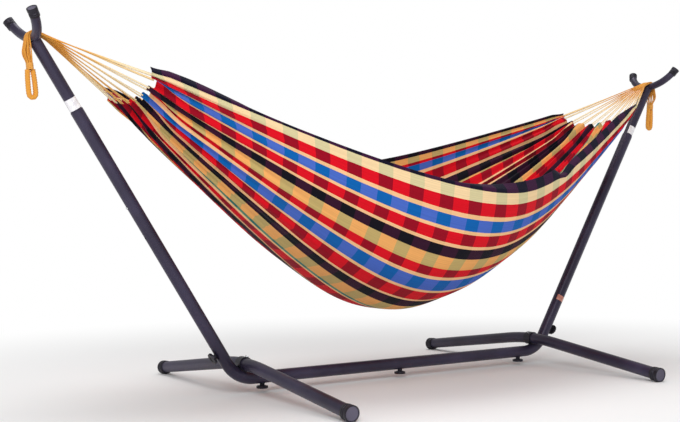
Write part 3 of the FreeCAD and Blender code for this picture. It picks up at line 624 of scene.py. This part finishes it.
def printed_film(name, pale, deep):
    """A smooth wrapped film with faint creases and handling marks."""
    material, shader = new_material(name, pale, 0.32, Coat_Weight=0.3)
    spot = add(material, "TexCoord").outputs["Object"]
    marks = noise(material, spot, 90.0, 4.0, 0.6)
    into(material, ramp(material, marks, [(0.35, deep), (0.6, pale)]), shader.inputs["Base Color"])
    bump = add(material, "Bump", Strength=0.2, Distance=0.0004, Height=noise(material, spot, 130.0))
    into(material, bump.outputs[0], shader.inputs["Normal"])
    return material


finishes = {
    "charcoal_tube": charcoal, "black_collar": collar_black, "black_plastic": plastic, "zinc_steel": zinc(),
    "white_patch": printed_film("white_patch", linear("#F4F3F6"), linear("#DCD9E0")),
    "copper_patch": printed_film("copper_patch", linear("#D08D7C"), linear("#A9604E")),
}
for entry in frame["record"]["subparts"]:
    if entry["material_slot"] in finishes:
        shown = frame["nodes"][entry["node"]]
        for slot in shown.material_slots:
            slot.material = finishes[entry["material_slot"]]
print("finishes of the stand:", sorted(finishes))

# %% [markdown]
# ## Cotton cord
# The yarn is unbleached cream where it leaves the cloth and dyed gold where it is handled, so each cord
# carries a tone along its length, and the colour is read from that. At the left end, five cords in the middle
# of the bundle are a deep gold all along, which is painted shade. Fine fibres lie along the twist.

# %% Finish of the cords
def cotton_cord():
    material, shader = new_material("golden_cotton_cord", linear("#E9A94C"), 0.82, Sheen_Weight=0.1,
                                    Sheen_Roughness=0.5, Specular_IOR_Level=0.2)
    tone = add(material, "Attribute", {"attribute_name": "tone"}).outputs["Fac"]
    lay = add(material, "UVMap", {"uv_map": "lay"}).outputs[0]
    fibres = add(material, "Mapping", Vector=lay, Scale=(22.0, 900.0, 1.0)).outputs[0]
    spot = add(material, "TexCoord").outputs["Object"]
    streak = noise(material, spot, 260.0, 3.0, 0.6)
    body = ramp(material, tone, [(0.0, linear("#FBEBC6")), (0.45, linear("#F6CF8A")),
                                 (1.0, linear("#E8A444"))])
    worn = mix(material, "MULTIPLY", maths(material, "MULTIPLY", streak, 0.75), body, (0.72, 0.60, 0.46, 1))
    into(material, worn, shader.inputs["Base Color"])
    height = maths(material, "ADD", noise(material, fibres, 1.0, 2.0),
                   maths(material, "MULTIPLY", streak, 0.6))
    bump = add(material, "Bump", Strength=0.5, Distance=0.0005, Height=height)
    into(material, bump.outputs[0], shader.inputs["Normal"])
    return material


cord_finish = cotton_cord()
for piece in cords + whippings + [eye for eye, line, length in eyes]:
    piece.data.materials.clear()
    piece.data.materials.append(cord_finish)
print("pieces in cotton cord:", len(cords) + 4)

# %% [markdown]
# ## Striped cotton
# A weaver plans this cloth in two directions. Along it, the warp changes colour in stripes. Across it, the
# weft changes about every 50 mm between a red and a navy yarn, and each crossing mixes the two. So every
# warp colour has two looks, one for each weft, and the finish picks between two colour ramps. A ramp holds
# few stops, so the near half and the far half of the width have one each.

# %% Colours of the weave
crossings = {
    "red": ("#E00A20", "#9A0420"), "crimson": ("#9A0A1E", "#66081A"), "blue": ("#4A6CC8", "#0563B2"),
    "black": ("#34102A", "#0E0C18"), "tan": ("#F8B368", "#C8B070"), "cream": ("#FADAA8", "#DCD0A0"),
    "straw": ("#FDC994", "#F6C48C"), "teal": ("#5A967C", "#2F7C74"), "navy": ("#3A1438", "#100E24"),
}
warp_plan = [
    ("navy", 10), ("cream", 36), ("red", 44), ("straw", 12), ("blue", 40), ("straw", 12), ("red", 40),
    ("straw", 12), ("black", 38), ("tan", 52), ("red", 38), ("straw", 13), ("blue", 61), ("straw", 14),
    ("red", 64), ("straw", 12), ("black", 54), ("tan", 87), ("teal", 17), ("straw", 12), ("red", 87),
    ("straw", 14), ("black", 65), ("red", 94), ("tan", 46), ("black", 113), ("straw", 17), ("crimson", 19),
    ("straw", 14), ("red", 62), ("tan", 12), ("black", 52), ("straw", 16), ("red", 57), ("straw", 16),
    ("blue", 35), ("red", 13), ("tan", 28), ("black", 22),
]
print("width of the warp plan, mm:", sum(width for name, width in warp_plan))

# %% Finish of the cloth
def striped_cotton():
    material, shader = new_material("striped_cotton", (0.6, 0.1, 0.1), 0.86, Sheen_Weight=0.04,
                                    Sheen_Roughness=0.5, Specular_IOR_Level=0.12)
    weave = add(material, "UVMap", {"uv_map": "weave"}).outputs[0]
    place = add(material, "SeparateXYZ", Vector=weave)
    lengthwise, across = place.outputs[0], place.outputs[1]
    width = sum(size for name, size in warp_plan) / 1000
    sway = maths(material, "MULTIPLY_ADD", noise(material, weave, 14.0, 1.0), 0.006, -0.003)
    across_share = maths(material, "DIVIDE", maths(material, "ADD", across, maths(
        material, "MULTIPLY", sway, 0.35)), width)
    looks = []
    for weft in (0, 1):
        halves = []
        for low, high in ((0.0, 0.5), (0.5, 1.0)):
            stops, edge = [], 0.0
            for name, size in warp_plan:
                start, edge = edge, edge + size / 1000 / width
                if edge > low and start < high:
                    stops.append((max(0.0, (start - low) / (high - low)), linear(crossings[name][weft])))
            factor = maths(material, "MULTIPLY_ADD", across_share, 2.0, -2.0 * low)
            halves.append(ramp(material, factor, stops, "CONSTANT"))
        looks.append(mix(material, "MIX", maths(material, "GREATER_THAN", across_share, 0.5), *halves))
    band = maths(material, "FRACT", maths(material, "MULTIPLY_ADD", maths(
        material, "ADD", lengthwise, sway), 10.0, 20.2))
    colour = mix(material, "MIX", maths(material, "GREATER_THAN", band, 0.54), *looks)
    stretched = add(material, "Mapping", Vector=weave, Scale=(3.0, 420.0, 1.0)).outputs[0]
    yarns = noise(material, stretched, 1.0, 2.0)
    shade = add(material, "MapRange", Value=yarns, From_Min=0.3, From_Max=0.7, To_Min=0.0, To_Max=0.42)
    colour = mix(material, "MULTIPLY", shade.outputs[0], colour, (0.62, 0.60, 0.62, 1))
    warp = maths(material, "SINE", maths(material, "MULTIPLY", across, 2 * math.pi / 0.0022))
    weft = maths(material, "SINE", maths(material, "MULTIPLY", lengthwise, 2 * math.pi / 0.0026))
    height = maths(material, "ADD", maths(material, "MULTIPLY", warp, weft), maths(
        material, "MULTIPLY", yarns, 1.2))
    into(material, colour, shader.inputs["Base Color"])
    bump = add(material, "Bump", Strength=0.35, Distance=0.0007, Height=height)
    into(material, bump.outputs[0], shader.inputs["Normal"])
    return material


cloth.data.materials.clear()
cloth.data.materials.append(striped_cotton())
print("cloth finished")

# %% [markdown]
# ## Moulded caps
# Each tube end is closed by a moulded cap: a sleeve, a slightly wider flange, and a dished face inside a
# rim. It starts as a cylinder. The far face is drawn out and widened for the flange, inset for the rim and
# pushed in for the dish, and a bevel takes off the sharp edges as a mould does. The dish gets a lighter grey
# than the black body, which is painted sheen.

# %% Caps
def faces_where(piece, test):
    """Selects the faces of a piece in edit mode whose middle and normal pass a test."""
    bpy.ops.object.mode_set(mode="EDIT")
    bpy.ops.mesh.select_all(action="DESELECT")
    bpy.ops.object.mode_set(mode="OBJECT")
    for face in piece.data.polygons:
        face.select = bool(test(face.center, face.normal))
    bpy.ops.object.mode_set(mode="EDIT")
    bpy.ops.mesh.select_mode(type="FACE")


def finish_edges(piece, width, segments=2):
    bpy.ops.object.mode_set(mode="OBJECT")
    rounding = piece.modifiers.new("rounding", "BEVEL")
    rounding.width, rounding.segments = width, segments
    rounding.limit_method, rounding.angle_limit = "ANGLE", math.radians(30)
    bpy.ops.object.modifier_apply(modifier="rounding")
    bpy.ops.object.shade_smooth_by_angle(angle=math.radians(35))


def cap(name, radius, flange, length, flange_length, dish):
    """A cap along +Z: its open end at 0 and its face at length."""
    deselect_all()
    sleeve = length - flange_length
    bpy.ops.mesh.primitive_cylinder_add(vertices=56, radius=radius, depth=sleeve,
                                        location=(0, 0, sleeve / 2))
    piece = bpy.context.object
    place_mesh(piece, Matrix.Translation((0, 0, sleeve / 2)))
    faces_where(piece, lambda middle, normal: normal.z > 0.9)
    bpy.ops.mesh.extrude_region_move()
    bpy.ops.transform.resize(value=(flange / radius, flange / radius, 1))
    bpy.ops.mesh.extrude_region_move(TRANSFORM_OT_translate={"value": (0, 0, flange_length)})
    bpy.ops.mesh.inset(thickness=dish)
    bpy.ops.mesh.extrude_region_move(TRANSFORM_OT_translate={"value": (0, 0, -0.0012)})
    bpy.ops.transform.resize(value=(0.96, 0.96, 1))
    finish_edges(piece, 0.0007)
    piece.name = piece.data.name = name
    piece.data.materials.append(plastic)
    piece.data.materials.append(cap_face_painted_sheen)
    top = max(vertex.co.z for vertex in piece.data.vertices)
    # The faces of the dish take the lighter grey: painted sheen.
    for face in piece.data.polygons:
        if face.normal.z > 0.9 and math.hypot(face.center.x, face.center.y) < flange - dish * 0.8 \
                and face.center.z > top - 0.002:
            face.material_index = 1
    return piece


def copy_of(piece, name):
    twin = piece.copy()
    twin.data = piece.data.copy()
    twin.name = twin.data.name = name
    bpy.context.scene.collection.objects.link(twin)
    return twin


def towards(direction, origin):
    """A placing that turns +Z along direction."""
    direction = Vector(direction).normalized()
    helper = Vector((1, 0, 0)) if abs(direction.x) < 0.9 else Vector((0, 1, 0))
    first = helper.cross(direction).normalized()
    return axes(first, direction.cross(first), direction, origin)


def ridged(piece, spots, swell):
    """Widens narrow rings of a cap's sleeve into ridges, at the given places along it."""
    bpy.context.view_layer.objects.active = piece
    for spot in spots:
        for edge in (spot - 0.0007, spot + 0.0007):
            bpy.ops.object.mode_set(mode="EDIT")
            bpy.ops.mesh.select_all(action="SELECT")
            bpy.ops.mesh.bisect(plane_co=(0, 0, edge), plane_no=(0, 0, 1))
            bpy.ops.object.mode_set(mode="OBJECT")
        faces_where(piece, lambda middle, normal: abs(middle.z - spot) < 0.0005 and abs(normal.z) < 0.5)
        bpy.ops.mesh.extrude_region_shrink_fatten(TRANSFORM_OT_shrink_fatten={"value": swell})
        bpy.ops.object.mode_set(mode="OBJECT")


print("cap helpers ready")

# %% [markdown]
# The same cap, in two sizes, closes the feet and the hooks. Each copy is turned along its tube. A foot cap
# is also the pad that the stand rests on, so the part of it below the floor is cut off flat.

# %% Caps in place
foot_x, foot_cap_middle, foot_cap_length = 0.585, 0.0215, 0.030
foot_cap = cap("foot_cap", 0.0220, 0.0230, foot_cap_length, 0.009, 0.0035)
ridged(foot_cap, (0.007, 0.013), 0.0005)
foot_way_y, foot_way_z = math.cos(math.radians(5.1)), -math.sin(math.radians(5.1))
for end, sign in (("right", 1), ("left", -1)):
    pair = []
    for side, toward in (("front", -1), ("back", 1)):
        heading = Vector((0, toward * foot_way_y, foot_way_z))
        tip = Vector((sign * foot_x, toward * cad_box[1][1], foot_cap_middle))
        piece = copy_of(foot_cap, f"foot_cap_{end}_{side}")
        place_mesh(piece, towards(heading, tip - heading * foot_cap_length
                                 - Vector((0, toward * 0.0020, 0))))
        deselect_all()
        piece.select_set(True)
        bpy.context.view_layer.objects.active = piece
        bpy.ops.object.mode_set(mode="EDIT")
        bpy.ops.mesh.select_all(action="SELECT")
        bpy.ops.mesh.bisect(plane_co=(0, 0, 0.0001), plane_no=(0, 0, 1), use_fill=True, clear_inner=True)
        bpy.ops.object.mode_set(mode="OBJECT")
        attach(piece, "stand")
        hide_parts(f"foot_caps_{end}")
        pair.append(piece)
    print("foot caps", end, [tuple(round(value, 3) for value in piece.bound_box[6]) for piece in pair])
bpy.data.objects.remove(foot_cap)

hook_cap = cap("hook_cap", 0.0143, 0.0150, 0.027, 0.010, 0.0030)
ridged(hook_cap, (0.005, 0.010), 0.0004)
hook_lean, hook_bend_radius = math.radians(31.75), 0.117
rise = Vector((math.sin(hook_lean), 0, math.cos(hook_lean)))
spread = math.radians(66)
hook_caps = 0
for end, sign in (("right", 1), ("left", -1)):
    for side, toward in (("front", -1), ("back", 1)):
        tip = (crotch + rise * hook_bend_radius * (1 - math.cos(spread))
               + Vector((0, toward * hook_bend_radius * math.sin(spread), 0)))
        heading = rise * math.sin(spread) + Vector((0, toward * math.cos(spread), 0))
        start = tip - heading * 0.024
        piece = copy_of(hook_cap, f"hook_cap_{end}_{side}")
        place_mesh(piece, towards((heading.x * sign, heading.y, heading.z),
                                  (start.x * sign, start.y, start.z)))
        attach(piece, "stand")
        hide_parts(f"hook_caps_{end}")
        hook_caps += 1
bpy.data.objects.remove(hook_cap)
print("hook caps:", hook_caps)

# %% [markdown]
# ## Hand knobs
# A hand screw ends in a round moulded knob with grips round its edge and a short neck under it. The knob is
# a cylinder whose side is drawn in at twelve places for the grips; the neck is drawn out of its
# underside, and the outer face is inset and dished.

# %% Knobs
knob_radius, knob_middle, grips = 0.0143, 0.011, 12


def hand_knob():
    """A knob along +Z, its neck's end at 0."""
    deselect_all()
    bpy.ops.mesh.primitive_cylinder_add(vertices=48, radius=knob_radius, depth=0.008,
                                        location=(0, 0, knob_middle))
    piece = bpy.context.object
    place_mesh(piece, Matrix.Translation((0, 0, knob_middle)))
    for vertex in piece.data.vertices:
        turned = math.atan2(vertex.co.y, vertex.co.x)
        depth = 0.0011 * (0.5 + 0.5 * math.cos(grips * turned)) ** 2
        vertex.co.xy *= 1 - depth / knob_radius
    faces_where(piece, lambda middle, normal: normal.z > 0.9)
    bpy.ops.mesh.inset(thickness=0.0035)
    bpy.ops.mesh.extrude_region_move(TRANSFORM_OT_translate={"value": (0, 0, -0.0010)})
    bpy.ops.mesh.inset(thickness=0.003)
    bpy.ops.transform.translate(value=(0, 0, -0.0006))
    faces_where(piece, lambda middle, normal: normal.z < -0.9)
    bpy.ops.mesh.inset(thickness=0.0068)
    bpy.ops.mesh.extrude_region_move(TRANSFORM_OT_translate={"value": (0, 0, -0.007)})
    finish_edges(piece, 0.0009, 3)
    piece.data.materials.append(plastic)
    return piece


knob = hand_knob()
for name, joint in joints.items():
    if name.startswith("knob_turn_"):
        place = name.removeprefix("knob_turn_")
        piece = copy_of(knob, f"grip_{place}")
        axis = Vector(joint["axis"])
        place_mesh(piece, towards(axis, Vector(joint["pos_m"]) + axis * 0.0190))
        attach(piece, joint["child"])
        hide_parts(f"knob_{place}")
bpy.data.objects.remove(knob)
print("knobs:", sum(name.startswith("knob_turn_") for name in joints))

# %% [markdown]
# ## Floor and light
# The stand is shown on a plain white floor under a bright, even sky, as in a catalogue studio. Away from the
# stand the floor fades into white that gives its own light, so that no horizon shows. The sky is seen at full
# white but lights at half of it. A large soft lamp from the upper left gives the round tubes a light side and
# a dark side, and another overhead lights the cloth.

# %% Studio
def studio():
    bpy.ops.mesh.primitive_circle_add(vertices=96, radius=30, fill_type="NGON", location=(0, 0, -0.0004))
    floor = bpy.context.object
    floor.name = "studio_floor"
    material, shader = new_material("white_floor", (0.93, 0.93, 0.93), 0.8)
    spot = add(material, "TexCoord").outputs["Object"]
    tone = ramp(material, noise(material, spot, 0.6), [(0.3, (0.92, 0.92, 0.92)), (0.7, (0.95, 0.95, 0.95))])
    into(material, tone, shader.inputs["Base Color"])
    away = add(material, "VectorMath", {"operation": "LENGTH"}, _0=spot).outputs["Value"]
    fade = add(material, "MapRange", {"interpolation_type": "SMOOTHSTEP"}, Value=away, From_Min=0.9,
               From_Max=2.6).outputs[0]
    glow = add(material, "Emission", Color=(1, 1, 1, 1), Strength=1.0)
    both = add(material, "MixShader", _0=fade, _1=shader.outputs[0], _2=glow.outputs[0])
    into(material, both.outputs[0], material.node_tree.nodes["Material Output"].inputs["Surface"])
    floor.data.materials.append(material)
    world = bpy.data.worlds.new("studio_sky")
    bpy.context.scene.world = world
    world.use_nodes = True
    tree = world.node_tree
    backdrop = tree.nodes["Background"]
    backdrop.inputs[0].default_value = (1, 1, 1, 1)
    path = tree.nodes.new("ShaderNodeLightPath")
    strength = tree.nodes.new("ShaderNodeMapRange")
    strength.inputs["To Min"].default_value, strength.inputs["To Max"].default_value = 0.5, 1.0
    tree.links.new(path.outputs["Is Camera Ray"], strength.inputs["Value"])
    tree.links.new(strength.outputs[0], backdrop.inputs[1])
    lamps = (("key_lamp", (-2.6, -3.4, 2.6), 2.0, 95), ("top_lamp", (0.3, 0.4, 4.2), 2.6, 66))
    for name, place, size, power in lamps:
        lamp_data = bpy.data.lights.new(name, "AREA")
        lamp_data.energy, lamp_data.size = power, size
        lamp = bpy.data.objects.new(name, lamp_data)
        aim = Vector((0, 0, 0.6)) - Vector(place)
        lamp.matrix_world = Matrix.Translation(place) @ aim.to_track_quat("-Z", "Y").to_matrix().to_4x4()
        bpy.context.scene.collection.objects.link(lamp)
    bpy.context.scene.view_settings.view_transform = "Standard"


deselect_all()
studio()
print("studio ready")

# %% [markdown]
# ## Finish
# The last call leaves nothing selected.

# %% Finish
deselect_all()
